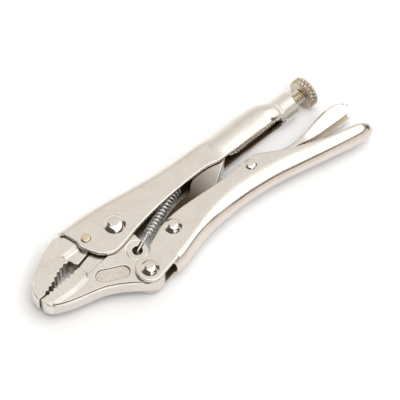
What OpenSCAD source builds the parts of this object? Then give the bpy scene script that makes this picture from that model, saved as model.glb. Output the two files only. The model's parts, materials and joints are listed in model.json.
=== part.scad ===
// Locking pliers, about 250 mm long, lying on their side with the jaws shut and locked.
// Design axes: the main rivet stands on the origin, x runs from the jaws to the knob,
// y runs towards the fixed handle, and z = 0 is the middle plane of the tool.

/* [Sheet metal] */
// Half the outside width over the handles' side plates
plate_z = 8; // [7.5:0.1:9]
// Thickness of the pressed sheet of both handles
sheet = 2.5; // [2:0.1:2.8]
// Half the widest outside width of the tube behind the fixed handle's plates
tube_z = 9.7; // [9.3:0.1:9.9]

/* [Jaws] */
// Half thickness of the forged jaws where they run between the plates
jaw_z = 5.3; // [4.6:0.1:5.3]
// Half thickness of the raised gripping pads
pad_z = 6.1; // [5.8:0.1:6.8]
// Half thickness of the wire cutter's blades
cutter_z = 3.6; // [3:0.1:4.2]
// Distance from one tooth to the next
tooth_pitch = 3.48; // [3:0.01:3.6]
// Height of a tooth
tooth_h = 1.6; // [1:0.1:1.8]

/* [Screw and knob] */
// Outside radius of the adjusting screw's thread
screw_r = 4.5; // [4:0.1:4.5]
// Distance from one thread to the next
thread_pitch = 2; // [1:0.25:2]
// Radius of the knurled knob, which is also half the height of the tool as it lies
knob_r = 10.7; // [10.2:0.1:11]
// Distance from the link's nose to the tip of the screw
nose_gap = 3; // [3:0.5:5]

/* [Rivets and spring] */
// Shank radius of the main rivet
main_r = 4.6; // [4:0.1:5]
// Radial running clearance of a moving piece on its rivet
run_fit = 0.05; // [0.02:0.01:0.09]
// Wire diameter of the spring
wire_d = 1.3; // [1:0.1:1.3]
// Mean radius of the spring's coil
coil_r = 3.1; // [2.6:0.1:3.2]
// Number of turns in the coil
coil_turns = 15; // [12:1:17]

/* [Hidden] */

// Rivet centres and the ends of the tool, in the design axes
jaw_rivet_at = [-20.5, 4.5];
hinge_at = [-5, -39.5];
link_at = [26.5, -26.5];
nose_at = [85.8, -4.6];
lever_at = [95, -26];
spring_hole_at = [-1.3, -23.3];
nose_x = -71.4;
tail_x = 177.5;
back_y = 21.1;
belly_y = -59.4;

// The finished part stands on z = 0 with its box centred on the z axis
box_mid = [(nose_x + tail_x) / 2, (back_y + belly_y) / 2];
fit = 0.03;
round_fn = 64;

// ---------- curves ----------

// Slope of a smooth curve at point i of a list of [x, y] points
function slope_at(p, i) =
    let (a = max(i - 1, 0), b = min(i + 1, len(p) - 1))
    (p[b].y - p[a].y) / (p[b].x - p[a].x);

// Index of the stretch of a point list that holds x
function stretch(p, x, i = 0) = (i >= len(p) - 2 || x <= p[i + 1].x) ? i : stretch(p, x, i + 1);

// Height at x of the smooth curve through a list of [x, y] points
function along(p, x) =
    let (
        i = stretch(p, x),
        h = p[i + 1].x - p[i].x,
        t = min(max((x - p[i].x) / h, 0), 1)
    )
    p[i].y * (2 * t^3 - 3 * t^2 + 1) + slope_at(p, i) * h * (t^3 - 2 * t^2 + t)
    + p[i + 1].y * (3 * t^2 - 2 * t^3) + slope_at(p, i + 1) * h * (t^3 - t^2);

// The same curve as a list of points, n to each stretch, from the first point to the last
function traced(p, n = 4) = [
    for (i = [0:len(p) - 2], k = [0:n - 1])
        let (x = p[i].x + (p[i + 1].x - p[i].x) * k / n) [x, along(p, x)],
    p[len(p) - 1]
];

// Smooth step from 0 to 1 as x goes from a to b
function ease(x, a, b) = let (t = min(max((x - a) / (b - a), 0), 1)) t * t * (3 - 2 * t);

function mix(a, b, t) = a * (1 - t) + b * t;
function backwards(list) = [for (i = [len(list) - 1:-1:0]) list[i]];
function unit(v) = v / norm(v);

// ---------- bent sheet, as a skin between an outer and an inner surface ----------

// Half of a section runs from the open edge to the middle of the bend, as [y, z] points with z > 0.
function normal_at(h, i) =
    i == len(h) - 1 ? [sign(h[i].x - h[0].x), 0]
    : let (d = unit(h[i + 1] - h[max(i - 1, 0)])) sign(h[len(h) - 1].x - h[0].x) * [-d.y, d.x];

function inward(h, t) = [
    for (i = [0:len(h) - 1])
        let (n = normal_at(h, i), out = i == len(h) - 1 || n.y >= 0 ? 1 : -1) h[i] - out * n * t
];

function both_sides(h) = concat(h, [for (i = [len(h) - 2:-1:0]) [h[i].x, -h[i].y]]);

// Keeps the two halves of a nearly closed section apart by at least twice the distance z
function clear_of_middle(h, z) = [for (i = [0:len(h) - 1]) i == len(h) - 1 ? h[i] : [h[i].x, max(h[i].y, z)]];

// Closed skin over a list of stations, each [x, outer points, inner points]
module bent_sheet(stations) {
    ns = len(stations);
    np = len(stations[0][1]);
    points = [
        for (s = stations) each concat(
            [for (q = s[1]) [s[0], q.x, q.y]],
            [for (q = s[2]) [s[0], q.x, q.y]]
        )
    ];
    function o(k, i) = k * 2 * np + i;
    function n(k, i) = k * 2 * np + np + i;
    function quad(a, b, c, d) = [[a, b, c], [a, c, d]];
    outer = [for (k = [0:ns - 2], i = [0:np - 2])
        each quad(o(k, i), o(k, i + 1), o(k + 1, i + 1), o(k + 1, i))];
    inner = [for (k = [0:ns - 2], i = [0:np - 2])
        each quad(n(k, i + 1), n(k, i), n(k + 1, i), n(k + 1, i + 1))];
    edge_a = [for (k = [0:ns - 2]) each quad(o(k, 0), o(k + 1, 0), n(k + 1, 0), n(k, 0))];
    edge_b = [for (k = [0:ns - 2]) each quad(n(k, np - 1), n(k + 1, np - 1), o(k + 1, np - 1), o(k, np - 1))];
    front = [for (i = [0:np - 2]) each quad(o(0, i + 1), o(0, i), n(0, i), n(0, i + 1))];
    back = [for (i = [0:np - 2]) each quad(o(ns - 1, i), o(ns - 1, i + 1), n(ns - 1, i + 1), n(ns - 1, i))];
    polyhedron(points, concat(outer, inner, edge_a, edge_b, front, back), convexity = 6);
}

// Closed skin over a list of stations, each [x, points all round], that ends in a point at tip
module solid_loft(stations, tip) {
    ns = len(stations);
    np = len(stations[0][1]);
    last = (ns - 1) * np;
    polyhedron(
        concat([for (s = stations, q = s[1]) [s[0], q.x, q.y]], [tip]),
        concat(
            [[for (i = [0:np - 1]) i]],
            [for (k = [0:ns - 2], i = [0:np - 1])
                each let (a = k * np + i, b = k * np + (i + 1) % np) [[a, b + np, b], [a, a + np, b + np]]],
            [for (i = [0:np - 1]) [last + (i + 1) % np, last + i, ns * np]]
        ),
        convexity = 4
    );
}

// ---------- fixed handle ----------

fixed_back = [[-31, 21.1], [0, 19], [20, 15.9], [40, 12.9], [60, 11.2], [84, 10.5], [112, 10.4], [128, 9.6]];
fixed_edge = [[-31, -15.6], [-10, -15.6], [10, -11.7], [30, -8.9], [60, -7.4], [74, -7.8], [84, -10.1],
              [100, -10.6], [128, -11]];
neck_y = -4.9;
neck_r = 8.7;
seam_z = 0.12;
neck_x0 = 141;
neck_lap = 0.8;
neck_x1 = 151.3;
tube_mid_y = 0.3;
tube_lip_z = 8.5;
back_corner = 5;
half_n = 12;

// Flat plates with a rounded back
function plate_half(x) =
    let (top = along(fixed_back, x), low = along(fixed_edge, x))
    concat(
        [for (i = [0:half_n / 2 - 1]) [mix(low, top - back_corner, i * 2 / half_n), plate_z]],
        [for (i = [0:half_n / 2 - 1])
            let (a = i * 90 / (half_n / 2 - 1))
            [top - back_corner * (1 - sin(a)), plate_z - back_corner * (1 - cos(a))]],
        [[top, 0]]
    );

// Rounded tube, open along its lower side
function tube_half(x) =
    let (top = along(fixed_back, x), low = along(fixed_edge, x))
    concat(
        [for (i = [0:half_n / 2 - 1])
            let (u = i * 2 / half_n) [mix(low, tube_mid_y, u), mix(tube_lip_z, tube_z, sin(90 * u))]],
        [for (i = [0:half_n / 2])
            let (a = i * 180 / half_n) [tube_mid_y + (top - tube_mid_y) * sin(a), tube_z * cos(a)]]
    );

// Round neck, closed but for its seam
function neck_half() = [
    for (i = [0:half_n])
        let (a = -89 + i * 179 / half_n) [neck_y + neck_r * sin(a), neck_r * cos(a)]
];

function fixed_half(x) =
    let (
        bulge = ease(x, 80, 91),
        close = ease(x, 126, neck_x0),
        plate = plate_half(min(x, 100)),
        tube = tube_half(min(x, 128)),
        neck = neck_half()
    )
    [for (i = [0:half_n]) mix(mix(plate[i], tube[i], bulge), neck[i], close)];

fixed_x = concat([for (x = [-31:5:79]) x], [for (x = [80:1.5:92]) x], [for (x = [96:6:126]) x],
                 [for (x = [128:1.3:neck_x0]) x], [neck_x0 + 0.5]);

// Where the front edge of the side plates runs, from the back down to the lower edge
front_edge = [[-30.6, 23], [-29.8, 18.4], [-27.7, 12], [-26.7, 6.6], [-27.4, 2.4], [-25.4, -3],
              [-22.4, -9], [-18.4, -13.2], [-14.5, -15.1], [-9, -16]];

module along_x(x0, x1) translate([x0, 0, 0]) rotate([0, 90, 0]) linear_extrude(height = x1 - x0) children();
module pin_hole(at, r) translate([at.x, at.y, -20]) cylinder(h = 40, r = r, $fn = round_fn);

module fixed_handle() color("silver") difference() {
    union() {
        bent_sheet([
            for (x = fixed_x)
                let (h = fixed_half(x), inside = clear_of_middle(inward(h, sheet), seam_z))
                [x, both_sides(h), both_sides(inside)]
        ]);
        neck();
        spring_lug();
    }
    translate([0, 0, -20]) linear_extrude(height = 40)
        polygon(concat([[-40, 23]], front_edge, [[-9, -20], [-40, -20]]));
    translate([neck_x0 - 4, neck_y, 0]) rotate([0, 90, 0])
        cylinder(h = 20, r = screw_r + 0.1, $fn = round_fn);
    pin_hole([0, 0], main_r + fit);
    pin_hole(jaw_rivet_at, 2.2 + fit);
    seam();
}

// Solid end of the neck, a hair wider than the rolled sheet that runs into it
module neck() translate([neck_x0 - neck_lap, neck_y, 0]) rotate([0, 90, 0])
    cylinder(h = neck_x1 - neck_x0 + neck_lap, r = neck_r + 0.15, $fn = round_fn);

// Seam where the two edges of the sheet meet under the neck
module seam() translate([neck_x0 - 3, neck_y - neck_r - 1, -1.5 * seam_z]) cube([20, 2, 3 * seam_z]);

// Lug inside the back of the handle that holds the spring
lug_at = [60, 0.2];
lug_z = 0.9;
module spring_lug() difference() {
    translate([lug_at.x - 3, lug_at.y - 3, -lug_z]) cube([6, 12, 2 * lug_z]);
    pin_hole(lug_at, 1.5);
}

// ---------- jaws ----------

upper_line = [[-71, -9], [-66, -8.6], [-63.4, -7.5], [-59.4, -6.1], [-55.4, -4.6], [-51.4, -2.7],
              [-47.4, -1.1], [-43.4, -0.1], [-40, 0.2]];
lower_line = [[-71, -9.35], [-65, -9.5], [-52, -9], [-40, -8.4], [-36, -8.1]];
tooth_x0 = -63.8;
teeth = 7;
fine_pitch = 1.1;
fine_h = 0.35;

// Gripping edge: fine teeth at the tip, then coarse teeth; way is 1 for the upper jaw, -1 for the lower
function gripping_edge(line, way) = concat(
    [for (k = [0:4], s = [0, 1])
        let (x = -71 + (k + s / 2) * fine_pitch) [x, along(line, x) + way * s * fine_h]],
    [[-65.5, along(line, -65.5) - way * 0.1]],
    [for (k = [0:teeth - 1], s = [0, 1])
        let (x = tooth_x0 + (k + s / 2) * tooth_pitch)
        [x, along(line, x) + way * (0.5 - s) * tooth_h]]
);

upper_top = [[-71, -2.2], [-69, 0.7], [-64, 5.1], [-59, 8.8], [-54, 11.8], [-49, 14.5], [-44, 16.8],
             [-38, 18.8], [-35, 19.1], [-32.6, 18.6], [-30.8, 17.1], [-29.6, 16.4]];
upper_pad = [[-70.4, -2], [-65.4, 2.2], [-59.4, 5.5], [-53.4, 6.7], [-46.4, 6.9], [-42.6, 6.2]];
cutter_front = [-35.3, -4.9];
cutter_back = [-21, -1.6];
cutter_gap = 1.7;
blade_gap = 0.4;
ear_r = 12;
boss_r = 7.2;

module slab(half, at = 0) translate([0, 0, at - half]) linear_extrude(height = 2 * half) children();

// Tapered edge of a cutter blade: side 0 hangs from the upper jaw, side 1 stands on the lower one
module blade(side) {
    lead = cutter_back - cutter_front;
    reach = (cutter_gap - blade_gap) / 2;
    translate([cutter_front.x, cutter_front.y - side * cutter_gap, 0]) mirror([0, side, 0])
        rotate([0, 0, (1 - 2 * side) * atan2(lead.y, lead.x)]) rotate([90, 0, 90])
        linear_extrude(height = norm(lead) - 1.5)
        polygon([
            [0.6, cutter_z - 0.5], [0, cutter_z], [-reach, 0.5],
            [-reach, -0.5], [0, -cutter_z], [0.6, 0.5 - cutter_z]
        ]);
}

// Everything on the lower jaw's side of the upper jaw's gripping edge
module below_upper_edge() slab(12)
    polygon(concat([[-80, -9.2]], gripping_edge(upper_line, 1), [[-39.2, -0.4], [-39.2, -30], [-80, -30]]));

module above_lower_edge() slab(12)
    polygon(concat([[-80, -9.2]], gripping_edge(lower_line, -1), [[-36.6, -7.9], [-36.6, 30], [-80, 30]]));

module upper_jaw() color("gainsboro") difference() {
    union() {
        slab(jaw_z) polygon(concat(
            traced(upper_top), [[-27, 16.4], [-6, 14.4], [2, 13.6], [2, 11], [-16, -0.6]],
            [cutter_back, cutter_front, [-36.8, -3.2], [-37.3, -0.6], [-38.2, 1.4], [-39.4, 1.8], [-39.4, -9],
             [-71.3, -9], [-71.4, -5.5]]
        ));
        hull() {
            slab(pad_z) upper_pad_outline(0);
            slab(jaw_z) upper_pad_outline(1.1);
        }
        blade(0);
    }
    below_upper_edge_pad();
    // Step down to the cutter blade on both faces
    for (side = [0, 1]) mirror([0, 0, side]) translate([-39.2, 0, 0]) rotate([90, 0, 90])
        linear_extrude(height = 13)
        polygon([[-20, cutter_z], [3.1, cutter_z], [6.2, jaw_z], [6.2, 9], [-20, 9]]);
    slab(20) circle(r = ear_r + 0.7, $fn = round_fn);
    pin_hole(jaw_rivet_at, 2.2 + fit);
}

module upper_pad_outline(grow) polygon(concat(
    [for (q = traced(upper_pad, 3)) [q.x, q.y + grow * ease(q.x, -71, -62)]],
    [[-39.6, 4.2 + grow / 2], [-39.2, 2.4], [-39.2, -9], [-71.3, -9], [-71.4, -5.5]]
));

module below_upper_edge_pad() intersection() {
    below_upper_edge();
    translate([-90, -40, -12]) cube([50.8, 60, 24]);
}

lower_belly = [[-67.8, -18.1], [-65, -20], [-57, -23.6], [-46, -27], [-38, -29.3], [-32, -31.8], [-25, -36.1],
               [-19, -40.6], [-14, -44.8], [-11.6, -46.8]];
lower_pad = [[-69.4, -15], [-65.4, -16], [-55, -16.8], [-45, -16.6], [-38.6, -15.6]];
heel_r = 9.8;

module lower_jaw() color("gainsboro") difference() {
    union() {
        slab(jaw_z) polygon(concat(
            [[-70.4, -8], [-70.4, -13], [-69.6, -15.8]], traced(lower_belly),
            [[-5, -45], [4.6, -39], [5.2, -30], [5.4, -19], [5.4, -9], [-8, -8.5], [-21.4, -3.3]],
            [cutter_back - [0.4, cutter_gap], cutter_front - [0, cutter_gap]],
            [[-36.6, -7.9], [-36.8, 0], [-70, 0]]
        ));
        blade(1);
        slab(jaw_z) circle(r = ear_r, $fn = round_fn);
        slab(jaw_z) translate(hinge_at) circle(r = heel_r, $fn = round_fn);
        slab(jaw_z) translate(spring_hole_at) circle(r = boss_r, $fn = round_fn);
        hull() {
            slab(pad_z) lower_pad_outline(0);
            slab(jaw_z) lower_pad_outline(2.6);
        }
    }
    intersection() {
        above_lower_edge();
        translate([-90, -40, -12]) cube([53.4, 60, 24]);
    }
    // Step down to the cutter blade on both faces
    for (side = [-1, 1]) translate([0, 0, side * (cutter_z + 5)]) slab(5)
        polygon([[-36.4, 0], [-36.4, -12], [-35.4, -14.9], [-16.2, -13.2], [-12.6, -6], [-20, 0]]);
    belly_ledge();
    oval_recess();
    spring_eye();
    pin_hole([0, 0], main_r + run_fit);
    pin_hole(hinge_at, 3.6 + run_fit);
}

// Ledge left by the forging dies along the belly, on both faces
ledge_w = 1.5;
ledge_depth = 0.8;
function moved_aside(p, d) = [
    for (i = [0:len(p) - 1])
        let (way = unit(p[min(i + 1, len(p) - 1)] - p[max(i - 1, 0)])) p[i] + d * [-way.y, way.x]
];
module belly_ledge() let (edge = traced(lower_belly))
    for (side = [-1, 1]) translate([0, 0, side * (jaw_z + 5 - ledge_depth)]) slab(5)
        polygon(concat(moved_aside(edge, -3), backwards(moved_aside(edge, ledge_w))));

module lower_pad_outline(grow) polygon(concat(
    [[-70.4, -8], [-70.4, -13]],
    [for (q = traced(lower_pad, 3)) [q.x, q.y - grow * ease(q.x, -71, -60)]],
    [[-36.4, -14 - grow / 3], [-36.4, -8]]
));

// Shallow oval panel on both faces, with a flat floor
oval_a = [-29.9, -22.6];
oval_b = [-18.4, -28.8];
oval_r = 4.6;
oval_depth = 1;
module oval_recess() for (side = [-1, 1]) translate([0, 0, side * (jaw_z + 5 - oval_depth)]) {
    slab(5) translate(oval_a) circle(r = oval_r, $fn = round_fn);
    slab(5) translate(oval_b) circle(r = oval_r, $fn = round_fn);
    slab(5) polygon([for (s = [-1, 1], q = s < 0 ? [oval_a, oval_b] : [oval_b, oval_a])
        q + s * oval_r * unit([oval_a.y - oval_b.y, oval_b.x - oval_a.x])]);
}

// Dished hole in the tail of the lower jaw, with a groove on both faces for the spring's hook
eye_r = 3.2;
eye_dish = 0.5;
groove_z = 3.15;
dish_r = boss_r - 0.4;
dish_slope = (dish_r - eye_r) / eye_dish;
spring_dir = unit(lug_at - spring_hole_at);
module spring_eye() {
    pin_hole(spring_hole_at, eye_r);
    for (side = [0, 1]) mirror([0, 0, side]) translate([spring_hole_at.x, spring_hole_at.y, 0]) {
        translate([0, 0, jaw_z - eye_dish - 0.3]) cylinder(
            h = eye_dish + 0.5, r1 = eye_r - 0.3 * dish_slope, r2 = dish_r + 0.2 * dish_slope, $fn = round_fn
        );
        rotate(atan2(spring_dir.y, spring_dir.x))
            translate([0, -1.4, groove_z]) cube([boss_r + 3, 2.8, jaw_z]);
    }
}

// ---------- movable handle ----------

grip_edge = [[9, -26.2], [20, -21.4], [28, -19.8], [40, -19.4], [55, -20.3], [70, -21.5], [85, -21.2],
             [98, -20.9], [104, -22.4], [112, -27.4], [120, -32.4], [128, -36], [140, -41.2], [150, -44.9],
             [165, -48.3], [172, -50.4]];
grip_bend = [[9, -43.5], [20, -42], [30, -39.5], [40, -36.6], [50, -33.6], [60, -31.6], [70, -30.4],
             [85, -30.6], [100, -32.6], [112, -35], [125, -38.6], [140, -43], [150, -46], [165, -49.4],
             [172, -51]];
grip_belly = [[9, -50], [20, -48.6], [30, -45.8], [40, -43.5], [50, -42.2], [62, -41.6], [76, -41.7],
              [90, -42.8], [105, -45], [125, -49.6], [144, -54.1], [160, -57.7], [168, -59.1], [172, -59.3]];
tail_x0 = 165;
tail_y = -54.2;

// The tail narrows to a rounded end: how much of its size is left at x, for a corner of that roundness
function tail_left(x, round) =
    let (t = min(max((x - tail_x0) / (tail_x - tail_x0), 0), 1)) (1 - t^round)^(1 / round);

function grip_half(x) =
    let (
        s = tail_left(x, 2.6),
        xe = min(x, 172),
        top = tail_y + (along(grip_edge, xe) - tail_y) * s,
        mid = tail_y + (along(grip_bend, xe) - tail_y) * s,
        low = tail_y + (along(grip_belly, xe) - tail_y) * s,
        w = plate_z * tail_left(x, 2)
    )
    concat(
        [for (i = [0:3]) [mix(top, mid, i / 4), w]],
        [for (i = [0:half_n - 4])
            let (a = i * 90 / (half_n - 4)) [mid - (mid - low) * sin(a), w * cos(a)]]
    );

grip_x = concat([9.6], [for (x = [12:4:164]) x], [167]);
tail_cap_x = [166.8, 168, 170, 172, 173.6, 175, 176.1, 176.9];
ear_plate_x = 14;

module movable_handle() color("silver") difference() {
    union() {
        bent_sheet([for (x = grip_x)
            let (h = grip_half(x)) [x, backwards(both_sides(h)), backwards(both_sides(inward(h, sheet)))]]);
        for (side = [-1, 1]) translate([0, 0, side * (plate_z - sheet / 2)]) ear_plate();
        tail_cap();
    }
    slab(20) translate(spring_hole_at) circle(r = boss_r + 0.7, $fn = round_fn);
    pin_hole(hinge_at, 3.6 + fit);
    pin_hole(link_at, 3.4 + fit);
    pin_hole(lever_at, 2.4 + fit);
}

// Rounded ear around the hinge rivet, running into the side plate
module ear_plate() {
    slab(sheet / 2) translate(hinge_at) circle(r = 9.5, $fn = round_fn);
    slab(sheet / 2) polygon([
        [-9, -31], [-2, -30], [ear_plate_x, -23.8], [ear_plate_x, -45.2], [9, -46.3], [-1, -48.1], [-10, -45]
    ]);
}

// Closed end of the tail, which starts inside the sheet and comes out a hair wider
module tail_cap() solid_loft(concat(
    [[165.8, tail_section(165.8, 0.93)]],
    [for (x = tail_cap_x) [x, tail_section(x, 1.015)]]
), [tail_x, tail_y, 0]);

function tail_section(x, size) =
    [for (q = both_sides(grip_half(x))) [tail_y + (q.x - tail_y) * size, q.y * size]];

// ---------- toggle link and release lever ----------

link_z = 4.9;
link_edge = [[26, -18], [34, -15.4], [42, -14], [48, -13.7], [51.4, -13.2], [54, -11.8], [56.4, -9.4],
             [59.4, -7.3], [66, -4.2], [74, -1], [82, 0.3]];
link_under = [[26, -35], [36, -34], [48, -31], [60, -26.6], [70.3, -20.6]];
nose_r = 4.5;

module toggle_link() color("lightgray") difference() {
    union() {
        slab(link_z) polygon(concat(
            traced(link_edge), [[86, 0.3], nose_at + [0, nose_r], nose_at + [4, -2], [87.3, -9.6]],
            backwards(traced(link_under))
        ));
        slab(link_z) translate(link_at) circle(r = 8.5, $fn = round_fn);
        slab(link_z) translate(nose_at) circle(r = nose_r, $fn = round_fn);
    }
    pin_hole(link_at, 3.4 + run_fit);
}

lever_back = [[66, -31.5], [76, -27.5], [88, -22.6], [98, -22.4], [110, -25.6], [118, -28.6], [125, -30.6],
              [133, -30.4], [142, -29.3], [152, -27.4], [160, -26.1], [165, -26], [168.5, -26.8],
              [171, -28.4], [173, -30.6], [174.3, -33.4]];
lever_edge = [[66, -33], [76, -32], [88, -31.5], [98, -31.5], [110, -33], [120, -33.6], [128, -34.2],
              [135, -35.8], [142, -37.3], [150, -38], [165, -38.4], [171, -38.6], [174.3, -38.2]];
lever_z = 5.2;
paddle_z = 7.4;
lever_sheet = 1.4;
lever_end_x = 174.3;
lever_n = 10;

// The side flanges stand upright between the handle's plates and lean outwards under the paddle
function lever_half(x) =
    let (
        top = along(lever_back, x),
        low = along(lever_edge, x),
        drop = (top - low) * mix(0.35, 0.26, ease(x, 115, 135)),
        wide = mix(lever_z, paddle_z, ease(x, 132, 150))
    )
    concat(
        [for (i = [0:2]) [mix(low, top - drop, i / 3), mix(lever_z, wide, i / 3)]],
        [for (i = [0:lever_n - 3])
            let (a = i * 90 / (lever_n - 3)) [top - drop * (1 - sin(a)), wide * cos(a)]]
    );

lever_x = concat([for (x = [66:5:161]) x], [164, 166.5, 168.5, 170, 171.4, 172.6, 173.5, lever_end_x]);

module release_lever() color("lightgray") difference() {
    bent_sheet([for (x = lever_x)
        let (h = lever_half(x)) [x, both_sides(h), both_sides(inward(h, lever_sheet))]]);
    pin_hole(lever_at, 2.4 + run_fit);
}

// ---------- rivets ----------

module dome(r, h) {
    ball = (r * r + h * h) / (2 * h);
    intersection() {
        translate([0, 0, h - ball]) sphere(r = ball, $fn = 96);
        cylinder(r = r, h = h, $fn = round_fn);
    }
}

// Domed head over one plate, flat closing head over the other
module rivet(at, shank_r, head_r, head_h) translate([at.x, at.y, 0]) {
    translate([0, 0, -plate_z]) cylinder(r = shank_r, h = 2 * plate_z, $fn = round_fn);
    translate([0, 0, plate_z]) dome(head_r, head_h);
    mirror([0, 0, 1]) translate([0, 0, plate_z]) intersection() {
        dome(head_r, head_h * 1.45);
        cylinder(r = head_r, h = head_h, $fn = round_fn);
    }
}

head_h = knob_r - plate_z;
module main_rivet() color("gainsboro") rivet([0, 0], main_r, 7.3, head_h);
module lower_jaw_rivet() color("gainsboro") rivet(hinge_at, 3.6, 6, head_h);
module link_rivet() color("gainsboro") rivet(link_at, 3.4, 5.8, head_h);
module lever_rivet() color("gainsboro") rivet(lever_at, 2.4, 4, 1.2);
module upper_jaw_rivet() color("tan") rivet(jaw_rivet_at, 2.2, 3.5, 0.9);

// ---------- spring ----------

coil_a = [13.2, -16.7];
coil_b = [51.5, -2.9];
coil_dir = unit(coil_b - coil_a);
coil_side = [-coil_dir.y, coil_dir.x];
turn_steps = 10;

function coil_point(t) =
    let (a = 90 + 360 * coil_turns * t, c = mix(coil_a, coil_b, t) + coil_side * coil_r * cos(a))
    [c.x, c.y, coil_r * sin(a)];

// Hook centre line: out of the coil, along one face, through the hole and back along the other face
function hook(hole, out, reach, high, inner) = [
    for (q = [[reach, high * 0.9], [reach * 0.72, high], [inner, high], [0.5, high * 0.72], [0, high * 0.36],
              [0, 0], [0, -high * 0.36], [0.5, -high * 0.72], [inner, -high], [reach * 0.6, -high]])
        [hole.x + out.x * q.x, hole.y + out.y * q.x, q.y]
];

spring_path = concat(
    backwards(hook(spring_hole_at - spring_dir * 0.6, spring_dir, 12.4, 4, 2.2)),
    [for (k = [0:coil_turns * turn_steps]) coil_point(k / (coil_turns * turn_steps))],
    hook(lug_at - spring_dir * 0.6, -spring_dir, 7, 1.9, 1.4)
);

// Round wire along a list of points
module wire(path, r, sides = 6) {
    n = len(path);
    function dir(i) = unit(path[min(i + 1, n - 1)] - path[max(i - 1, 0)]);
    function ring(i) =
        let (
            d = dir(i),
            u = unit(cross(d, abs(d.z) > 0.8 ? [coil_dir.x, coil_dir.y, 0] : [0, 0, 1])),
            v = cross(d, u)
        )
        [for (k = [0:sides - 1]) path[i] + r * (u * cos(360 * k / sides) + v * sin(360 * k / sides))];
    polyhedron(
        [for (i = [0:n - 1]) each ring(i)],
        concat(
            [[for (k = [sides - 1:-1:0]) k]],
            [for (i = [0:n - 2], k = [0:sides - 1])
                each let (a = i * sides + k, b = i * sides + (k + 1) % sides)
                [[a, b, b + sides], [a, b + sides, a + sides]]],
            [[for (k = [0:sides - 1]) (n - 1) * sides + k]]
        ),
        convexity = 10
    );
}

module return_spring() color("darkgray") wire(spring_path, wire_d / 2);

// ---------- adjusting screw and knob ----------

tip_x = nose_at.x + nose_r + nose_gap;
knob_x0 = 160.2;
knob_x1 = 167;
thread_x0 = tip_x + 3;
thread_depth = 0.8;
threads = floor((knob_x0 - thread_x0) / thread_pitch);

module adjusting_screw() color("rosybrown") translate([0, neck_y, 0]) rotate([0, 90, 0])
    rotate_extrude($fn = round_fn)
    polygon(concat(
        [[0, tip_x], [2.4, tip_x], [screw_r - thread_depth, tip_x + 1.4]],
        [for (k = [0:threads - 1], s = [0, 1])
            [screw_r - thread_depth * (1 - s), thread_x0 + (k + s / 2) * thread_pitch]],
        [[screw_r - thread_depth, knob_x0], [3, knob_x0], [3, knob_x1 - 2], [0, knob_x1 - 2]]
    ));

module knurled_knob() color("rosybrown") translate([0, neck_y, 0]) rotate([0, 90, 0]) difference() {
    rotate_extrude($fn = 96) polygon([
        [0, knob_x0], [knob_r - 0.5, knob_x0], [knob_r, knob_x0 + 0.6], [knob_r, knob_x1 - 1.2],
        [knob_r - 1, knob_x1], [0, knob_x1]
    ]);
    translate([0, 0, knob_x0 - 1]) cylinder(h = knob_x1 - knob_x0 - 1, r = 3 + fit, $fn = round_fn);
}

// ---------- the part in its own frame ----------

module set_down() translate([-box_mid.x, -box_mid.y, knob_r]) children();

set_down() fixed_handle();
set_down() upper_jaw();
set_down() upper_jaw_rivet();
set_down() main_rivet();
set_down() lower_jaw();
set_down() lower_jaw_rivet();
set_down() movable_handle();
set_down() link_rivet();
set_down() toggle_link();
set_down() release_lever();
set_down() lever_rivet();
set_down() return_spring();
set_down() adjusting_screw();
set_down() knurled_knob();
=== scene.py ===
"""Locking pliers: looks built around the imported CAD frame.

Shapes are written in the tool's own axes, in millimetres: the main rivet is the origin, x runs from the jaws
to the knob, y towards the fixed handle, and z = 0 is the middle plane. at() turns them into the row frame.
"""

import json
import math

import bmesh
import bpy
import numpy as np
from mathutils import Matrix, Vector


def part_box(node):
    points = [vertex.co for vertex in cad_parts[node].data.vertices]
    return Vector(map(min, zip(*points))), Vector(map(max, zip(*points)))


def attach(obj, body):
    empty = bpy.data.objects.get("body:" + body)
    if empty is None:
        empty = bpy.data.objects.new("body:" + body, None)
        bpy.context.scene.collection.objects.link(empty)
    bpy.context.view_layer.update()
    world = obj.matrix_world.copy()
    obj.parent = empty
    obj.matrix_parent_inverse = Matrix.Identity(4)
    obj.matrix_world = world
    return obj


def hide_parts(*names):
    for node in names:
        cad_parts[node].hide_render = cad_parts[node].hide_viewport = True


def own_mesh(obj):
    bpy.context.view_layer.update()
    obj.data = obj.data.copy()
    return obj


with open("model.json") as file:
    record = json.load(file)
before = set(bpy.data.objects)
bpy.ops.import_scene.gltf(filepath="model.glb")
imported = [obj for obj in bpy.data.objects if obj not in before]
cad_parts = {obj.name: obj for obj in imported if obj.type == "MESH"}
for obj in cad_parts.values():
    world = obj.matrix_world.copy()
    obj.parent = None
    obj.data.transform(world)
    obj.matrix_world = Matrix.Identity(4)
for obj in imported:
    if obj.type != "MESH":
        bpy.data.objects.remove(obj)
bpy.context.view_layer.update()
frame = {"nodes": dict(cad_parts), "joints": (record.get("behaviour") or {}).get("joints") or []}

MM = 0.001
JOINT = {j["name"]: j for j in frame["joints"]}
MAIN = Vector(JOINT["jaw_pivot"]["pos_m"])


def at(x, y, z=0.0):
    """A point of the tool's own axes, in millimetres, as a point of the row frame."""
    return MAIN + Vector((x, y, z)) * MM


def own(point):
    """Points of the row frame as [x, y, z] in the tool's own axes, in millimetres."""
    return (np.array(point, float) - np.array(MAIN, float)) / MM


HINGE = own(JOINT["handle_pivot"]["pos_m"])
LINK = own(JOINT["link_pivot"]["pos_m"])
LEVER = own(JOINT["release_lever_pivot"]["pos_m"])
SCREW_Y = own(JOINT["knob_turn"]["pos_m"])[1]
PLATE_Z = 8.0
NECK_START = 134.0
SPRING_HOLE = np.array([-1.3, -23.3])
PANEL_ENDS = np.array([[-29.9, -22.6], [-18.4, -28.8]])
BELLY = np.array([[-67.8, -65.0, -57.0, -46.0, -38.0, -32.0, -25.0, -19.0, -14.0, -11.6],
                  [-18.1, -20.0, -23.6, -27.0, -29.3, -31.8, -36.1, -40.6, -44.8, -46.8]])
SCENE = bpy.context.scene


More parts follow.
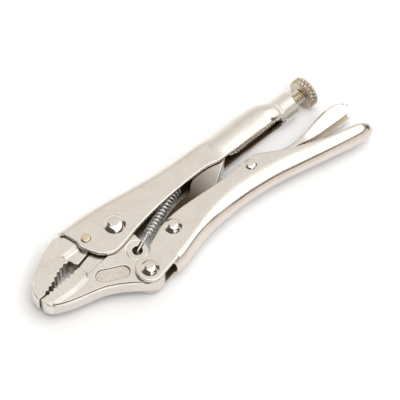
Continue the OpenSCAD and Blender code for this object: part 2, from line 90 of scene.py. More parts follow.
# ---------------------------------------------------------------- materials

def new_material(name):
    mat = bpy.data.materials.new(name)
    mat.use_nodes = True
    nodes, links = mat.node_tree.nodes, mat.node_tree.links
    return mat, nodes, links, nodes["Principled BSDF"]


def noise(nodes, links, coords, scale, detail=4.0):
    n = nodes.new("ShaderNodeTexNoise")
    n.inputs["Scale"].default_value = scale
    n.inputs["Detail"].default_value = detail
    n.inputs["Roughness"].default_value = 0.55
    links.new(coords, n.inputs["Vector"])
    return n.outputs["Fac"]


def ramp(nodes, links, fac, stops):
    r = nodes.new("ShaderNodeValToRGB")
    while len(r.color_ramp.elements) < len(stops):
        r.color_ramp.elements.new(0.5)
    for e, (pos, col) in zip(r.color_ramp.elements, stops):
        e.position = pos
        e.color = (*col, 1.0) if isinstance(col, tuple) else (col, col, col, 1.0)
    links.new(fac, r.inputs["Fac"])
    return r.outputs["Color"]


def multiplied(nodes, links, a, b, amount):
    """Colour a times colour b, by that amount."""
    mix = nodes.new("ShaderNodeMix")
    mix.data_type = "RGBA"
    mix.blend_type = "MULTIPLY"
    mix.inputs["Factor"].default_value = amount
    links.new(a, mix.inputs["A"])
    links.new(b, mix.inputs["B"])
    return mix.outputs["Result"]


def smooth_step(nodes, links, value, a, b):
    """Smooth step from 0 where value is a to 1 where it is b."""
    m = nodes.new("ShaderNodeMapRange")
    m.interpolation_type = "SMOOTHSTEP"
    m.inputs["From Min"].default_value, m.inputs["From Max"].default_value = min(a, b), max(a, b)
    m.inputs["To Min"].default_value, m.inputs["To Max"].default_value = (0.0, 1.0) if a < b else (1.0, 0.0)
    links.new(value, m.inputs["Value"])
    return m.outputs["Result"]


def component(nodes, links, vector, axis):
    split = nodes.new("ShaderNodeSeparateXYZ")
    links.new(vector, split.inputs["Vector"])
    return split.outputs[axis]


def bump(nodes, links, height, distance_mm, strength):
    """A bump node for that height. Its Normal input is still free."""
    n = nodes.new("ShaderNodeBump")
    n.inputs["Distance"].default_value = distance_mm * MM
    n.inputs["Strength"].default_value = strength
    links.new(height, n.inputs["Height"])
    return n


CLOUD_SCALE, STAIN_SCALE, WAVE_SCALE = 70.0, 900.0, 120.0
STAIN_SHARE = 0.35
# Painted shade: how far the shade in inner corners reaches, in mm, and its darkest tone; then the range of normal y
# over which the belly's painted shade fades out.
CORNER_MM, CORNER_SHADE_TONE = 1.6, (0.18, 0.14, 0.10)
BELLY_SHADE_NORMALS = (-0.85, -0.60)


def plated(name, light, dark, rough, spread, grain=2600.0, grain_mm=0.006, wave_mm=0.03, grime=0.25, corners=0.0,
           shadow=None, metal=1.0, belly=None):
    """Nickel-plated steel: soft clouds of tone, a fine grain, a slight waviness and duller patches.

    corners sets how much painted shade darkens the inner corners. shadow = (x0, x1, tone) is a brownish painted
    shade that fades along the tool.
    belly is the tone of a painted shade on the faces that look away from the fixed handle.
    """
    mat, nodes, links, bsdf = new_material(name)
    coords = nodes.new("ShaderNodeTexCoord").outputs["Object"]
    cloud = noise(nodes, links, coords, CLOUD_SCALE, 5.0)
    fine = noise(nodes, links, coords, STAIN_SCALE, 3.0)
    tone = ramp(nodes, links, cloud, [(0.36, dark), (0.62, light)])
    stain = ramp(nodes, links, fine, [(0.30, 1.0 - grime), (0.52, 1.0)])
    tone = multiplied(nodes, links, tone, stain, STAIN_SHARE)
    if corners:
        # Painted shade: occlusion darkens the colour in the inner corners.
        hollow = nodes.new("ShaderNodeAmbientOcclusion")
        hollow.samples = 6
        hollow.inputs["Distance"].default_value = CORNER_MM * MM
        corner_shade = ramp(nodes, links, hollow.outputs["AO"], [(0.35, CORNER_SHADE_TONE), (0.80, 1.0)])
        tone = multiplied(nodes, links, tone, corner_shade, corners)
    # Painted shade along x: darkest at start, gone from end on.
    if shadow:
        start, end, deepest = shadow
        fade = smooth_step(nodes, links, component(nodes, links, coords, "X"), at(start, 0)[0], at(end, 0)[0])
        tone = multiplied(nodes, links, tone, ramp(nodes, links, fade, [(0.0, deepest), (1.0, 1.0)]), 1.0)
    # Painted shade: a darker tone on the faces that look away from the fixed handle.
    if belly:
        normal = nodes.new("ShaderNodeTexCoord").outputs["Normal"]
        fade = smooth_step(nodes, links, component(nodes, links, normal, "Y"), *BELLY_SHADE_NORMALS)
        tone = multiplied(nodes, links, tone, ramp(nodes, links, fade, [(0.0, belly), (1.0, 1.0)]), 1.0)
    links.new(tone, bsdf.inputs["Base Color"])
    links.new(ramp(nodes, links, cloud, [(0.3, rough + spread), (0.7, rough - spread)]), bsdf.inputs["Roughness"])
    bsdf.inputs["Metallic"].default_value = metal
    height = bump(nodes, links, noise(nodes, links, coords, grain, 2.0), grain_mm, 0.6)
    wave = bump(nodes, links, noise(nodes, links, coords, WAVE_SCALE, 2.0), wave_mm, 0.5)
    links.new(height.outputs["Normal"], wave.inputs["Normal"])
    links.new(wave.outputs["Normal"], bsdf.inputs["Normal"])
    return mat


# In these materials corners puts painted shade into the inner corners, and belly puts painted shade on the faces
# that look away from the fixed handle.
SHEET = plated("plated_sheet", (0.84, 0.815, 0.785), (0.80, 0.77, 0.735), 0.19, 0.03, corners=0.5,
               belly=(0.93, 0.87, 0.83))
NECK = plated("neck_sheet", (0.85, 0.825, 0.795), (0.80, 0.77, 0.735), 0.34, 0.03, corners=0.6)
FORGED = plated("plated_forging", (0.86, 0.835, 0.80), (0.81, 0.785, 0.75), 0.20, 0.04, wave_mm=0.06, grime=0.35,
                corners=0.85, belly=(0.90, 0.86, 0.84))
SATIN = plated("satin_forging", (0.80, 0.77, 0.73), (0.74, 0.71, 0.67), 0.40, 0.06, wave_mm=0.06, grime=0.35,
               corners=0.85)
BRIGHT = plated("bright_rivet", (0.86, 0.84, 0.81), (0.82, 0.79, 0.76), 0.08, 0.02, grain_mm=0.002, wave_mm=0.05,
                corners=0.8)
GOLD = plated("yellowed_rivet", (0.84, 0.75, 0.60), (0.68, 0.57, 0.42), 0.18, 0.05, wave_mm=0.15, grime=0.5,
              corners=0.8)
# Painted shade on the link: brownish, darkest at x = 46 and gone by x = 88. It is painted on the link itself, so it
# moves with it.
LINKED = plated("plated_link", (0.78, 0.75, 0.715), (0.70, 0.67, 0.63), 0.22, 0.04, wave_mm=0.05, grime=0.4,
                shadow=(46.0, 88.0, (0.10, 0.075, 0.05)), corners=0.8)
# Painted shade: dark brown for the inner faces of the bent handle sheets.
INSIDE_SHADE = plated("sheet_inside_shade", (0.34, 0.27, 0.20), (0.22, 0.17, 0.12), 0.50, 0.08, grime=0.5)
# Painted light: a lighter, less metallic colour for the inner faces of the lever.
LEVER_INSIDE_LIT = plated("lever_inside_lit", (1.0, 0.92, 0.82), (0.94, 0.83, 0.70), 0.50, 0.06, grime=0.15, metal=0.2)
# Painted shade: dark brown for the walls of the panel, the ledge and the spring's hole.
GAP_SHADE = plated("jaw_gap_shade", (0.26, 0.205, 0.155), (0.16, 0.125, 0.095), 0.45, 0.08, grime=0.5, metal=0.7)
PANEL = plated("panel_floor", (0.80, 0.765, 0.72), (0.68, 0.64, 0.60), 0.28, 0.06, grain_mm=0.012, wave_mm=0.14,
               grime=0.6, corners=0.85)
# Painted shade: dark brown for the tooth flanks and the blade flanks.
FLANK_SHADE = plated("jaw_flank_shade", (0.46, 0.38, 0.31), (0.30, 0.245, 0.195), 0.42, 0.08, grime=0.5, metal=0.8)
POLISHED = plated("polished_sheet", (0.87, 0.85, 0.82), (0.83, 0.80, 0.77), 0.14, 0.03, grain_mm=0.003)
WIRE = plated("spring_wire", (0.98, 0.96, 0.93), (0.92, 0.89, 0.85), 0.26, 0.05, metal=0.7)
SCREW = plated("screw_steel", (0.72, 0.64, 0.54), (0.56, 0.48, 0.39), 0.24, 0.05, grain=1800.0, grain_mm=0.010,
               grime=0.5, corners=0.95)
THREAD = plated("thread_steel", (0.96, 0.87, 0.72), (0.84, 0.74, 0.58), 0.22, 0.05, grain=1800.0, grain_mm=0.004,
                wave_mm=0.01, grime=0.3, corners=1.0)


# ---------------------------------------------------------------- mesh helpers

def new_object(name, data):
    obj = bpy.data.objects.new(name, data)
    SCENE.collection.objects.link(obj)
    return obj


def finish_piece(obj, material, slot, body, *nodes):
    """obj with its material, the body it rides on and the CAD nodes it replaces; slot, the record's slot, is not
    used.
    """
    obj.data.materials.clear()
    obj.data.materials.append(material)
    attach(obj, body)
    if nodes:
        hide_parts(*nodes)
    return obj


def repaint(obj, material, where):
    """Another material on the faces for which where(centre, normal) is true, in the tool's own axes."""
    mesh = obj.data
    mesh.materials.append(material)
    count = len(mesh.polygons)
    centre, normal = np.empty(count * 3), np.empty(count * 3)
    mesh.polygons.foreach_get("center", centre)
    mesh.polygons.foreach_get("normal", normal)
    index = np.empty(count, dtype=np.int32)
    mesh.polygons.foreach_get("material_index", index)
    index[where(own(centre.reshape(-1, 3)).T, normal.reshape(-1, 3).T)] = len(mesh.materials) - 1
    mesh.polygons.foreach_set("material_index", index)
    mesh.update()


def within(value, low, high):
    return (value > low) & (value < high)


def from_eye(x, y):
    """Distance from the middle of the spring's hole in the lower jaw."""
    return np.hypot(x - SPRING_HOLE[0], y - SPRING_HOLE[1])


def above_belly(x, y):
    """Height over the belly's outline of the lower jaw."""
    return y - np.interp(x, *BELLY)


def inside_of_bend(half, hollow, until):
    """Chooses the inner faces, up to x until, of a bent sheet half wide inside and open on the side hollow."""
    def where(centre, normal):
        walls = normal[2] * np.sign(centre[2]) < -0.35
        roof = (normal[1] * hollow > 0.5) & (np.abs(centre[2]) < half)
        return (walls | roof) & (centre[0] < until)
    return where


def solid_neck(centre, normal):
    """Chooses the neck behind the tube of the fixed handle."""
    return centre[0] > NECK_START


def jaw_slopes(centre, normal):
    """Chooses the slope at the cutter and the lower edge of the lower pad."""
    x, y, z = centre
    tilted = (np.abs(normal[2]) < 0.985) & (np.abs(z) > 4.0)
    step = within(x, -41, -27) & within(y, -1, 8)
    pad = within(x, -72, -36) & within(y, -22, -13)
    return tilted & (step | pad)


def panel_floor(centre, normal):
    """Chooses the floor of the oval panel, which runs between PANEL_ENDS."""
    start, end, p = PANEL_ENDS[0], PANEL_ENDS[1], centre[:2].T
    along = np.clip((p - start) @ (end - start) / ((end - start) @ (end - start)), 0.0, 1.0)
    away = np.linalg.norm(p - start - along[:, None] * (end - start), axis=1)
    return (away < 4.9) & within(np.abs(centre[2]), 3.5, 4.8)


def jaw_corners(centre, normal):
    """Chooses the tooth flanks and the blade flanks."""
    x, y = centre[:2]
    upright = np.abs(normal[2])
    teeth = within(x, -71, -36.5) & within(y, -11.5 + 0.06 * (x + 71), -9 + 0.33 * (x + 71)) & (upright < 0.6)
    blades = within(x, -36.5, -16) & within(y, -9, -1) & (upright < 0.8)
    return teeth | blades


def jaw_lines(centre, normal):
    """Chooses the walls of the panel, the step, the ledge and the spring's hole."""
    x, y, z = centre
    upright, high = np.abs(normal[2]), np.abs(z)
    panel = within(x, -37, -12) & within(y, -35, -11.5) & (y > -34.5 - 0.75 * (x + 25)) & (high > 4.0)
    hole = (from_eye(x, y) < 3.6) & (upright < 0.7)
    ledge = within(above_belly(x, y), 0.3, 3.2) & within(high, 4.3, 5.25) & within(x, -67, -11) & (upright < 0.93)
    return hole | (panel & (upright < 0.88)) | ledge


def mesh_object(name, verts, faces):
    """A mesh object from points in the tool's own axes."""
    mesh = bpy.data.meshes.new(name)
    mesh.from_pydata([at(*v) for v in verts], [], faces)
    bm = bmesh.new()
    bm.from_mesh(mesh)
    bmesh.ops.remove_doubles(bm, verts=bm.verts, dist=0.0005 * MM)
    bmesh.ops.recalc_face_normals(bm, faces=bm.faces)
    bm.to_mesh(mesh)
    bm.free()
    return new_object(name, mesh)


def shade(obj, sharp):
    """Smooth shading between faces that meet at less than the sharp angle."""
    obj.data.polygons.foreach_set("use_smooth", [True] * len(obj.data.polygons))
    obj.data.set_sharp_from_angle(angle=math.radians(sharp))
    return obj


MERGE_MM, FLAT_ANGLE, EDGE_ANGLE = 0.004, 0.6, 22.0


def cad_copy(node, name, width_mm):
    """The CAD node's shape as a clean mesh, its edges rounded by width_mm."""
    bm = bmesh.new()
    bm.from_mesh(frame["nodes"][node].data)
    bmesh.ops.remove_doubles(bm, verts=bm.verts, dist=MERGE_MM * MM)
    bmesh.ops.dissolve_limit(bm, angle_limit=math.radians(FLAT_ANGLE), verts=bm.verts, edges=bm.edges)
    layer = bm.edges.layers.float.new("bevel_weight_edge")
    for e in bm.edges:
        if len(e.link_faces) == 2 and e.calc_face_angle(0.0) > math.radians(EDGE_ANGLE):
            e[layer] = 1.0
    mesh = bpy.data.meshes.new(name)
    bm.to_mesh(mesh)
    bm.free()
    obj = shade(new_object(name, mesh), EDGE_ANGLE)
    mod = obj.modifiers.new("edges", "BEVEL")
    mod.width = width_mm * MM
    mod.segments = 4
    mod.limit_method = "WEIGHT"
    mod.use_clamp_overlap = False
    mod.harden_normals = True
    return obj


def forging(node, name, passes, step=0.24, press=None):
    """The CAD node's shape with worn edges: an even skin of small faces, evened out passes(x, y, z) times.

    step is the faces' size in mm. press(x, y, z) gives how far each point is then pressed in towards the
    middle plane, in mm.
    """
    obj = new_object(name, frame["nodes"][node].data.copy())
    mod = obj.modifiers.new("skin", "REMESH")
    mod.mode = "VOXEL"
    mod.voxel_size = step * MM
    skin = bpy.data.meshes.new_from_object(obj.evaluated_get(bpy.context.evaluated_depsgraph_get()))
    obj.modifiers.clear()
    obj.data = skin
    count = len(skin.vertices)
    co = np.empty(count * 3)
    skin.vertices.foreach_get("co", co)
    co = co.reshape(-1, 3)
    ends = np.empty(len(skin.edges) * 2, dtype=np.int64)
    skin.edges.foreach_get("vertices", ends)
    a, b = ends.reshape(-1, 2).T
    near = np.bincount(a, minlength=count) + np.bincount(b, minlength=count)
    turns = passes(*own(co).T)
    for k in range(int(turns.max())):
        sums = [np.bincount(a, co[b, i], count) + np.bincount(b, co[a, i], count) for i in range(3)]
        total = np.stack(sums, axis=1)
        co += (np.clip(turns - k, 0.0, 1.0) * 0.5)[:, None] * (total / near[:, None] - co)
    if press:
        x, y, z = own(co).T
        co[:, 2] -= np.sign(z) * press(x, y, z) * MM
    skin.vertices.foreach_set("co", co.ravel())
    skin.update()
    return shade(obj, 60.0)


def lathe(name, profile, centre, turns=72):
    """Surface of revolution of (radius, height) points about z through centre."""
    verts, faces = [], []
    n = len(profile)
    for k in range(turns):
        a = 2 * math.pi * k / turns
        for r, h in profile:
            verts.append((centre[0] + r * math.cos(a), centre[1] + r * math.sin(a), centre[2] + h))
    for k in range(turns):
        for i in range(n - 1):
            a, b = k * n + i, ((k + 1) % turns) * n + i
            faces.append((a, b, b + 1, a + 1))
    return shade(mesh_object(name, verts, faces), 40.0)


# ---------------------------------------------------------------- rivets

def head_profile(radius, height):
    """Domed head with a sloping shoulder and a low upright skirt, from its middle to its edge."""
    inner, skirt = 0.8 * radius, 0.1 * height
    low = skirt + 0.84 * (radius - inner)
    pts = [(inner * i / 12, height - (height - low) * (i / 12) ** 3.6) for i in range(13)]
    for i in range(1, 8):
        t = i / 7
        pts.append((inner + (radius - inner) * t, low - (low - skirt) * (0.85 * t + 0.15 * t * t)))
    return pts + [(radius, 0.0)]


def rivet(name, centre, shank, radius, height, material, slot, body, node):
    """A rivet through both plates with a domed head on each side."""
    front = [(r, PLATE_Z + h) for r, h in head_profile(radius, height)]
    back = [(r, -PLATE_Z - h) for r, h in head_profile(radius, height * 0.98)]
    profile = front + [(shank, PLATE_Z), (shank, -PLATE_Z)] + back[::-1]
    obj = lathe(name, profile, (centre[0], centre[1], 0.0))
    return finish_piece(obj, material, slot, body, node)


HEAD = own(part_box("main_rivet")[1])[2] - PLATE_Z
# piece, centre, radius of shank and head, height of head, material, slot, body, CAD node
RIVETS = [
    ("main_rivet_head", (0, 0), 4.6, 7.3, HEAD, BRIGHT, "bright_rivet", "fixed_handle", "main_rivet"),
    ("lower_jaw_rivet_head", HINGE, 3.6, 6.0, HEAD, BRIGHT, "bright_rivet", "movable_handle", "lower_jaw_rivet"),
    ("link_rivet_head", LINK, 3.4, 5.8, HEAD, BRIGHT, "bright_rivet", "movable_handle", "link_rivet"),
    ("lever_rivet_head", LEVER, 2.4, 4.0, 1.2, BRIGHT, "bright_rivet", "movable_handle", "lever_rivet"),
    ("jaw_rivet_head", (-20.5, 4.5), 2.2, 3.5, 0.9, GOLD, "yellowed_rivet", "fixed_handle", "upper_jaw_rivet"),
]
for entry in RIVETS:
    rivet(*entry)


# ---------------------------------------------------------------- jaws, link, handles and lever

def jaw_wear(x, y, z):
    """Few passes on the teeth, the blades and the panel, many along the outer edges of the forgings."""
    turns = np.full(len(x), 7.0)
    back = (y > 13) | ((y > 3 + 0.5 * (x + 66)) & (x < -38))
    turns[back | (x < -66) | (y < -17.5 - 0.55 * (x + 65))] = 26.0
    turns[within(above_belly(x, y), -0.8, 3.6) & within(x, -66, -11) & (np.abs(z) > 3.6)] = 2.5
    turns[within(x, -70.5, -36) & within(y, -12, 2)] = 1.5
    turns[within(x, -37, -16) & within(y, -17, 6.5)] = 3.0
    turns[within(x, -37.5, -11) & within(y, -35, -16) & (y > -35.5 - 0.75 * (x + 25))] = 2.0
    turns[from_eye(x, y) < 8.0] = 3.0
    return turns


def jaw_marks(x, y, z):
    """Worn-down dish round the spring's hole, with a fine ring round it."""
    away = from_eye(x, y)
    worn = 0.42 * np.clip((7.1 - away) / 3.9, 0.0, 1.0) * (away > 3.3)
    ring = 0.16 * np.exp(-((away - 7.3) / 0.35) ** 2)
    return (ring - worn) * (np.abs(z) > 4.3) * (x > -15)


def link_wear(x, y, z):
    """Even rounding all over the link."""
    return np.full(len(x), 14.0)


def fixed_wear(x, y, z):
    """Even rounding on the pressed sheet, more where the rolled sheet runs into the solid neck."""
    turns = np.full(len(x), 5.0)
    turns[(y < -4.5) & (x < 128)] = 9.0
    turns[(x > 129) & (x < 147)] = 26.0
    return turns


def neck_crimp(x, y, z):
    """Short dent on each side where the sheet is crimped against the neck."""
    return 0.6 * np.exp(-((x - 138.5) / 1.5) ** 2) * np.exp(-((y + 7.0) / 3.4) ** 4) * (np.abs(z) > 4.0)


def movable_wear(x, y, z):
    """Even rounding on the pressed sheet, more where the tail is closed."""
    turns = np.full(len(x), 6.0)
    turns[x > 160] = 30.0
    return turns


def jaw(node, body):
    """A jaw with its worn slopes, its panel floor and painted shade on its flanks and on the walls of its hollows.
    """
    obj = forging(node, node + "_forging", jaw_wear, press=jaw_marks)
    repaint(finish_piece(obj, FORGED, "plated_forging", body, node), SATIN, jaw_slopes)
    repaint(obj, PANEL, panel_floor)
    # Painted shade on the tooth flanks and the blade flanks.
    repaint(obj, FLANK_SHADE, jaw_corners)
    # Painted shade on the walls that jaw_lines chooses.
    repaint(obj, GAP_SHADE, jaw_lines)


jaw("upper_jaw", "fixed_handle")
jaw("lower_jaw", "lower_jaw")
link = forging("toggle_link", "toggle_link_plate", link_wear, 0.34)
finish_piece(link, LINKED, "plated_link", "toggle_link", "toggle_link")
fixed = forging("fixed_handle", "fixed_handle_sheet", fixed_wear, 0.36, press=neck_crimp)
repaint(finish_piece(fixed, SHEET, "plated_sheet", "fixed_handle", "fixed_handle"), NECK, solid_neck)
# Painted shade on the inner faces of the fixed handle's sheet.
repaint(fixed, INSIDE_SHADE, inside_of_bend(5.0, -1, 136))
movable = forging("movable_handle", "movable_handle_sheet", movable_wear, 0.36)
# Painted shade on the inner faces of the movable handle's sheet.
repaint(finish_piece(movable, SHEET, "plated_sheet", "movable_handle", "movable_handle"), INSIDE_SHADE,
        inside_of_bend(5.0, 1, 164))
lever = cad_copy("release_lever", "release_lever_sheet", 0.3)
# Painted light on the inner faces of the lever.
repaint(finish_piece(lever, POLISHED, "polished_sheet", "release_lever", "release_lever"), LEVER_INSIDE_LIT,
        inside_of_bend(3.4, -1, 180))


# ---------------------------------------------------------------- spring

LUG = np.array([60.0, 0.2])
COIL_A, COIL_B = np.array([13.2, -16.7]), np.array([51.5, -2.9])
COIL_R, COIL_TURNS, WIRE_R = 3.1, 15, 0.64
SLACK = 0.6
PULL = (LUG - SPRING_HOLE) / np.linalg.norm(LUG - SPRING_HOLE)
COIL_WAY = (COIL_B - COIL_A) / np.linalg.norm(COIL_B - COIL_A)


def hook(hole, out, reach, high, inner):
    """Centre line of an end hook, from the coil along one face, through the hole and back along the other.

    Its ends are reach from the hole in the direction out, and it starts to bend down inner from the hole.
    high is how far it lies from the middle plane.
    """
    steps = [(reach, high * 0.9), (reach * 0.72, high), (inner, high), (0.5, high * 0.72), (0, high * 0.36), (0, 0),
             (0, -high * 0.36), (0.5, -high * 0.72), (inner, -high), (reach * 0.6, -high)]
    return [np.array([*(hole + out * a), z]) for a, z in steps]


def eased(points, n=4):
    """Catmull-Rom curve through the points."""
    out = []
    for i in range(len(points) - 1):
        a, b = points[max(i - 1, 0)], points[i]
        c, d = points[i + 1], points[min(i + 2, len(points) - 1)]
        for k in range(n):
            t = k / n
            bent = (2 * a - 5 * b + 4 * c - d) * t * t + (3 * b - 3 * c + d - a) * t ** 3
            out.append(0.5 * (2 * b + (c - a) * t + bent))
    return out + [points[-1]]


def tube(name, path, r, sides=12):
    """Round wire along a path, with closed ends."""
    verts, faces, n = [], [], len(path)
    side = np.array([0.0, 0.0, 1.0])
    for i, q in enumerate(path):
        way = path[min(i + 1, n - 1)] - path[max(i - 1, 0)]
        way /= np.linalg.norm(way)
        side = side - way * side.dot(way)
        side /= np.linalg.norm(side)
        other = np.cross(way, side)
        for k in range(sides):
            a = 2 * math.pi * k / sides
            verts.append(q + r * (side * math.cos(a) + other * math.sin(a)))
    for i in range(n - 1):
        for k in range(sides):
            a, b = i * sides + k, i * sides + (k + 1) % sides
            faces.append((a, b, b + sides, a + sides))
    faces += [tuple(range(sides))[::-1], tuple(range((n - 1) * sides, n * sides))]
    return shade(mesh_object(name, verts, faces), 60.0)


def spring_path():
    """The coil between its two hooks, as one line."""
    across = np.array([-COIL_WAY[1], COIL_WAY[0]])
    steps = COIL_TURNS * 24
    coil = []
    for k in range(steps + 1):
        a = math.radians(90 + 360 * COIL_TURNS * k / steps)
        c = COIL_A + (COIL_B - COIL_A) * k / steps + across * COIL_R * math.cos(a)
        coil.append(np.array([c[0], c[1], COIL_R * math.sin(a)]))
    near = hook(SPRING_HOLE - PULL * SLACK, PULL, 12.4, 4.0, 2.2)[::-1]
    far = hook(LUG + PULL * SLACK, -PULL, 7.0, 1.9, 1.4)
    return eased(near + [coil[0]])[:-1] + coil + eased([coil[-1]] + far)[1:]


spring = tube("return_spring_wire", spring_path(), WIRE_R)
finish_piece(spring, WIRE, "spring_wire", "fixed_handle", "return_spring")
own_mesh(spring)


# ---------------------------------------------------------------- screw and knob

SCREW_R, THREAD_DEPTH, PITCH = 4.5, 1.0, 2.0
SCREW_LO, SCREW_HI = (own(c)[0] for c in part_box("adjusting_screw"))
KNOB_LO, KNOB_HI = (own(c)[0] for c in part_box("knurled_knob"))
KNOB_R = (own(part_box("knurled_knob")[1])[2] - own(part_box("knurled_knob")[0])[2]) / 2


def round_grid(name, rings, centre_y):
    """Skin over rings about x, closed at both ends. Each ring is (x, radii at even angles)."""
    verts, faces = [], []
    n = len(rings[0][1])
    for x, radii in rings:
        for k, rad in enumerate(radii):
            a = 2 * math.pi * k / n
            verts.append((x, centre_y + rad * math.cos(a), rad * math.sin(a)))
    for i in range(len(rings) - 1):
        for k in range(n):
            a, b = i * n + k, i * n + (k + 1) % n
            faces.append((a, b, b + n, a + n))
    faces += [tuple(range(n))[::-1], tuple(range((len(rings) - 1) * n, len(rings) * n))]
    return shade(mesh_object(name, verts, faces), 38.0)


def thread_rings():
    """Turned tip, then a thread with rounded crests, then the shank inside the knob."""
    n, slices, tip_r, shank_r = 64, 10, 2.4, 3.0
    crest_height, crest_width = 1.25, 0.32
    start, stop = SCREW_LO + 3.0, KNOB_LO - 0.1
    rings = [(SCREW_LO, [tip_r] * n), (SCREW_LO + 1.4, [SCREW_R - THREAD_DEPTH] * n)]
    for i in range(int((stop - start) / PITCH * slices) + 1):
        x = start + i * PITCH / slices
        fade = min(1.0, (x - start) / PITCH)
        radii = []
        for k in range(n):
            turn = ((x - start) / PITCH - k / n) % 1.0
            crest = min(1.0, max(0.0, crest_height - abs(turn - 0.5) / crest_width))
            radii.append(SCREW_R - THREAD_DEPTH * (1.0 - crest * fade))
        rings.append((x, radii))
    return rings + [(KNOB_LO, [3.6] * n), (KNOB_LO + 0.05, [shank_r] * n), (SCREW_HI, [shank_r] * n)]


def knob_rings():
    """Barrel with a diamond knurl, chamfered rims and a turned hollow in its end face."""
    n, slices, ridges, depth, cross = 330, 20, 22, 1.0, 0.62
    chamfer_length, chamfer_depth = 0.7, 0.8
    rings = [(KNOB_LO, [3.05] * n), (KNOB_LO, [KNOB_R - 1.6] * n)]
    x0, x1 = KNOB_LO + 0.1, KNOB_HI - 0.55
    for i in range(slices + 1):
        x = x0 + (x1 - x0) * i / slices
        rim = min(1.0, (x - KNOB_LO + 0.1) / chamfer_length, (KNOB_HI - 0.3 - x) / chamfer_length)
        radii = []
        for k in range(n):
            a = 2 * math.pi * k / n
            left = abs(math.sin(0.5 * ridges * a + cross * (x - x0)))
            right = abs(math.sin(0.5 * ridges * a - cross * (x - x0)))
            radii.append(KNOB_R - (1.0 - rim) * chamfer_depth - depth * (1.0 - min(left, right) ** 0.8))
        rings.append((x, radii))
    return rings + [(KNOB_HI - 0.15, [KNOB_R - 1.5] * n), (KNOB_HI, [KNOB_R - 1.9] * n), (KNOB_HI, [6.4] * n),
                    (KNOB_HI - 0.35, [6.0] * n), (KNOB_HI - 0.4, [1.5] * n), (KNOB_HI - 0.7, [0.6] * n)]


screw = round_grid("adjusting_screw_thread", thread_rings(), SCREW_Y)
finish_piece(screw, THREAD, "screw_steel", "adjusting_screw", "adjusting_screw")
knob = round_grid("knurled_knob_barrel", knob_rings(), SCREW_Y)
finish_piece(knob, SCREW, "screw_steel", "knurled_knob", "knurled_knob")


# ---------------------------------------------------------------- floor, light and camera

def stage_floor():
    """White paper under the tool."""
    mesh = bpy.data.meshes.new("floor")
    s = 4.0
    mesh.from_pydata([(-s, -s, 0), (s, -s, 0), (s, s, 0), (-s, s, 0)], [], [(0, 1, 2, 3)])
    obj = new_object("floor", mesh)
    mat, nodes, links, bsdf = new_material("floor_paper")
    coords = nodes.new("ShaderNodeTexCoord").outputs["Object"]
    cloud = noise(nodes, links, coords, 3.0)
    paper = ramp(nodes, links, cloud, [(0.3, (0.93, 0.935, 0.945)), (0.7, (0.95, 0.955, 0.965))])
    links.new(paper, bsdf.inputs["Base Color"])
    bsdf.inputs["Roughness"].default_value = 0.8
    mesh.materials.append(mat)


def area_light(name, toward, distance, size, energy, colour):
    """A soft box in the direction toward, seen from the tool, facing it."""
    data = bpy.data.lights.new(name, "AREA")
    data.shape = "RECTANGLE"
    data.size, data.size_y = size
    data.energy = energy
    data.color = colour
    obj = new_object(name, data)
    way = Vector(toward).normalized()
    obj.location = MAIN + Vector((0.05, 0.0, 0.0)) + way * distance
    obj.rotation_mode = "QUATERNION"
    obj.rotation_quaternion = way.to_track_quat("Z", "Y")
    obj.visible_glossy = False


class Sky:
    """Small helpers for a sky whose tone depends on the direction."""

    def __init__(self, nodes, links):
        self.nodes, self.links = nodes, links
        split = nodes.new("ShaderNodeSeparateXYZ")
        self.way = nodes.new("ShaderNodeTexCoord").outputs["Generated"]
        links.new(self.way, split.inputs["Vector"])
        self.x, self.y, self.z = split.outputs

    def step(self, value, a, b):
        return smooth_step(self.nodes, self.links, value, a, b)

    def product(self, *values):
        out = values[0]
        for v in values[1:]:
            m = self.nodes.new("ShaderNodeMath")
            m.operation = "MULTIPLY"
            self.links.new(out, m.inputs[0])
            self.links.new(v, m.inputs[1])
            out = m.outputs[0]
        return out

    def window(self, value, a, b, c, d):
        """Rises from a to b and falls from c to d."""
        return self.product(self.step(value, a, b), self.step(value, d, c))

    def spot(self, centre, inner, outer):
        """A soft round patch in the direction centre."""
        m = self.nodes.new("ShaderNodeVectorMath")
        m.operation = "DISTANCE"
        self.links.new(self.way, m.inputs[0])
        m.inputs[1].default_value = centre
        return self.step(m.outputs["Value"], outer, inner)

    def paint(self, under, mask, colour):
        """That colour over the tone under, where the mask is 1."""
        m = self.nodes.new("ShaderNodeMix")
        m.data_type = "RGBA"
        self.links.new(mask, m.inputs["Factor"])
        self.links.new(under, m.inputs["A"])
        m.inputs["B"].default_value = (*colour, 1.0)
        return m.outputs["Result"]


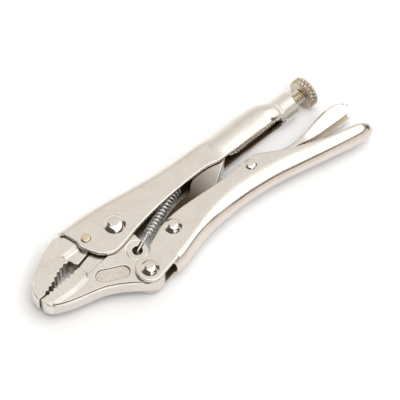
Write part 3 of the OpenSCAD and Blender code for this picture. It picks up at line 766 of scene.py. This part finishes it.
def studio():
    """A beige room with a white soft box on the near side and a few dark patches for the metal to reflect."""
    world = bpy.data.worlds.new("studio")
    SCENE.world = world
    world.use_nodes = True
    nodes, links = world.node_tree.nodes, world.node_tree.links
    back = nodes["Background"]
    sky = Sky(nodes, links)
    tone = ramp(nodes, links, sky.z, [
        (0.0, (0.95, 0.89, 0.83)), (0.45, (0.90, 0.83, 0.75)), (0.62, (0.75, 0.70, 0.63)),
        (0.85, (0.89, 0.835, 0.772)), (1.0, (0.94, 0.905, 0.86))])
    near = sky.step(sky.y, 0.35, 0.05)
    low_gap = sky.product(sky.window(sky.z, 0.42, 0.47, 0.58, 0.63), near, sky.step(sky.x, -0.5, -0.2))
    tone = sky.paint(tone, low_gap, (0.05, 0.04, 0.03))
    soft_box = sky.product(sky.window(sky.x, -0.50, -0.36, 0.80, 0.95), sky.window(sky.y, -0.84, -0.70, 0.12, 0.32),
                           sky.step(sky.z, 0.56, 0.66))
    tone = sky.paint(tone, soft_box, (1.42, 1.40, 1.36))
    jaw_side = sky.product(sky.step(sky.x, -0.34, -0.50), sky.window(sky.y, -0.9, -0.75, 0.5, 0.8),
                           sky.step(sky.z, 0.15, 0.3))
    tone = sky.paint(tone, jaw_side, (0.10, 0.085, 0.07))
    knob_side = sky.product(sky.step(sky.x, 0.72, 0.84), sky.step(sky.y, 0.1, -0.05),
                            sky.window(sky.z, 0.0, 0.04, 0.40, 0.48))
    tone = sky.paint(tone, knob_side, (0.14, 0.115, 0.09))
    overhead = sky.spot((0.08, -0.04, 0.995), 0.03, 0.10)
    tone = sky.paint(tone, overhead, (0.35, 0.32, 0.28))
    far_side = sky.spot((-0.20, 0.54, 0.81), 0.15, 0.27)
    tone = sky.paint(tone, far_side, (0.10, 0.085, 0.07))
    links.new(tone, back.inputs["Color"])
    back.inputs["Strength"].default_value = 1.0


VIEW_AT, VIEW_ANGLES, VIEW_DISTANCE = (55.70, -20.01), (-42.6, 58.0), 1.55


def camera():
    """The photo's view: from VIEW_DISTANCE, in metres, at VIEW_ANGLES round and above the point VIEW_AT."""
    data = bpy.data.cameras.new("camera")
    data.lens, data.sensor_width = 216.0, 36.0
    data.clip_start, data.clip_end = 0.05, 20.0
    obj = new_object("camera", data)
    a, e = (math.radians(angle) for angle in VIEW_ANGLES)
    back = Vector((math.sin(a) * math.cos(e), -math.cos(a) * math.cos(e), math.sin(e)))
    obj.location = at(*VIEW_AT) + back * VIEW_DISTANCE
    obj.rotation_mode = "QUATERNION"
    obj.rotation_quaternion = (-back).to_track_quat("-Z", "Y")
    SCENE.camera = obj


stage_floor()
area_light("softbox", (0.1, -0.25, 1.0), 1.2, (1.2, 1.2), 7.5, (0.97, 0.985, 1.0))
studio()
camera()
SCENE.view_settings.view_transform = "Standard"
